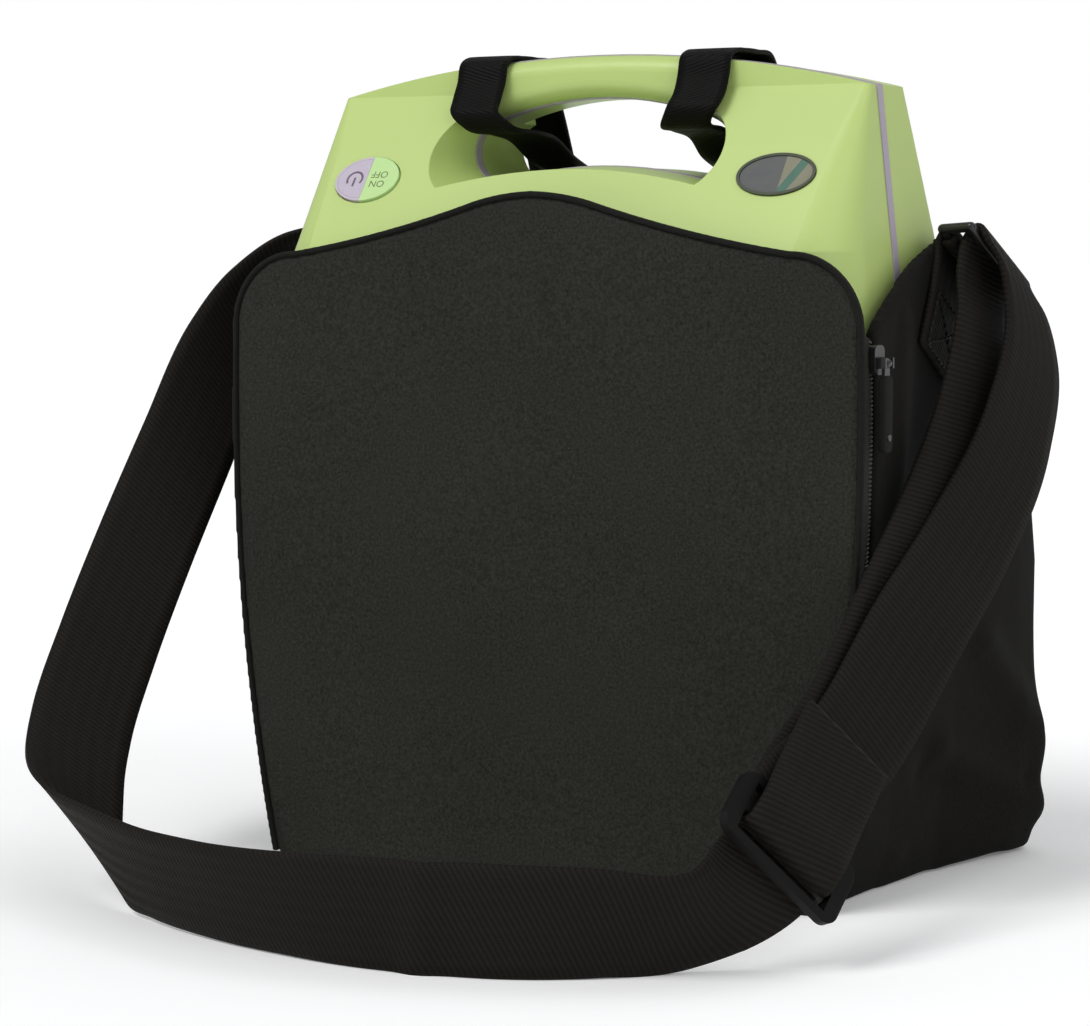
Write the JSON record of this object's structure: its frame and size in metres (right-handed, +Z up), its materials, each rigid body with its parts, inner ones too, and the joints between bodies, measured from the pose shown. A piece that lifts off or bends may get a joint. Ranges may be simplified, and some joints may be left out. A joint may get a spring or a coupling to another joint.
{
  "type": "automated external defibrillator in carry case",
  "caption": "Portable defibrillator with an arched green housing, moulded handle, oval power button and status window, standing in a padded black case with zips and a shoulder strap.",
  "frame": {"origin": "centre of the case's flat bottom, on the surface it stands on", "axes": "+Z up, -Y is the front with the flap and the controls, +X is the viewer's right"},
  "size_m": [0.3431, 0.2981, 0.2975],
  "materials": {
    "green_shell": "fine moulded texture",
    "bezel": "satin",
    "key": "translucent, satin",
    "symbol": "printed inlay",
    "black_plastic": "satin",
    "window": "smoked, clear",
    "status": "printed",
    "panel": "satin",
    "overlay": "printed film",
    "lens": "clear",
    "lcd": "clear",
    "shock": "translucent",
    "white_plastic": "plain",
    "board": "lacquered",
    "metal_can": "plain",
    "iron": "varnished",
    "cell": "sleeved",
    "steel": "plated",
    "black_metal": "black",
    "case_fabric": "woven, padded",
    "piping": "woven edge",
    "webbing": "ribbed webbing"
  },
  "bodies": {
    "unit_and_case": {"front_lid": "green_shell", "seam_bezel": "bezel", "rear_housing": "green_shell", "housing_screws": "steel", "power_switch": "black_plastic", "window_bezel": "black_plastic", "status_window": "window", "status_display": "status", "control_panel": "panel", "graphics_overlay": "overlay", "indicator_lenses": "lens", "lcd_display": "lcd", "shock_switch": "black_plastic", "speaker": "black_plastic", "microphone": "board", "electrode_socket": "black_plastic", "electrode_pack": "white_plastic", "lid_latches": "black_plastic", "main_board": "board", "capacitor": "metal_can", "transformer": "iron", "battery_well": "white_plastic", "batteries": "cell", "battery_door": "white_plastic", "lower_front_panel": "case_fabric", "lower_piping": "piping", "back_panel": "case_fabric", "bottom_panel": "case_fabric", "side_panel_right": "case_fabric", "side_panel_left": "case_fabric", "zip_right": "piping", "zip_left": "piping", "ring_tab_right": "webbing", "ring_tab_left": "webbing", "handle_strap_right": "webbing", "handle_strap_left": "webbing"},
    "flap": {"front_flap": "case_fabric", "flap_piping": "piping"},
    "right_slider": {"zip_slider_right": "black_metal"},
    "left_slider": {"zip_slider_left": "black_metal"},
    "right_pull": {"zip_pull_right": "webbing"},
    "left_pull": {"zip_pull_left": "webbing"},
    "power_key": {"power_button": "key", "power_symbol": "symbol"},
    "shock_key": {"shock_button": "shock"},
    "strap": {"shoulder_strap": "webbing", "strap_adjuster": "black_plastic", "strap_ring_right": "black_metal", "strap_ring_left": "black_metal"}
  },
  "joints": [
    {"name": "case_flap", "type": "hinge", "parent": "unit_and_case", "child": "flap", "pos_m": [0, -0.072, 0.056], "axis": [1, 0, 0], "range_deg": [0, 70]},
    {"name": "zip_right", "type": "hinge", "parent": "unit_and_case", "child": "right_slider", "pos_m": [-0.673, -0.0605, 0.165], "axis": [0, 1, 0], "range_deg": [0, 8.8]},
    {"name": "zip_left", "type": "hinge", "parent": "unit_and_case", "child": "left_slider", "pos_m": [0.673, -0.0605, 0.165], "axis": [0, -1, 0], "range_deg": [0, 8.8]},
    {"name": "pull_right", "type": "hinge", "parent": "right_slider", "child": "right_pull", "pos_m": [0.13164, -0.0605, 0.188], "axis": [0, -1, 0], "range_deg": [0, 100]},
    {"name": "pull_left", "type": "hinge", "parent": "left_slider", "child": "left_pull", "pos_m": [-0.13164, -0.0605, 0.188], "axis": [0, 1, 0], "range_deg": [0, 100]},
    {"name": "power_press", "type": "slide", "parent": "unit_and_case", "child": "power_key", "axis": [0, 0.8113, -0.5847], "range_m": [0, 0.0012], "stiffness_N_per_m": 800, "springref_m": -0.002},
    {"name": "shock_press", "type": "slide", "parent": "unit_and_case", "child": "shock_key", "axis": [0, 1, 0], "range_m": [0, 0.0015], "stiffness_N_per_m": 800, "springref_m": -0.002},
    {"name": "strap_lift", "type": "hinge", "parent": "unit_and_case", "child": "strap", "pos_m": [0, 0.018, 0.221], "axis": [-1, 0, 0], "range_deg": [0, 130], "deforming": ["ring_tab_right", "ring_tab_left"]}
  ]
}
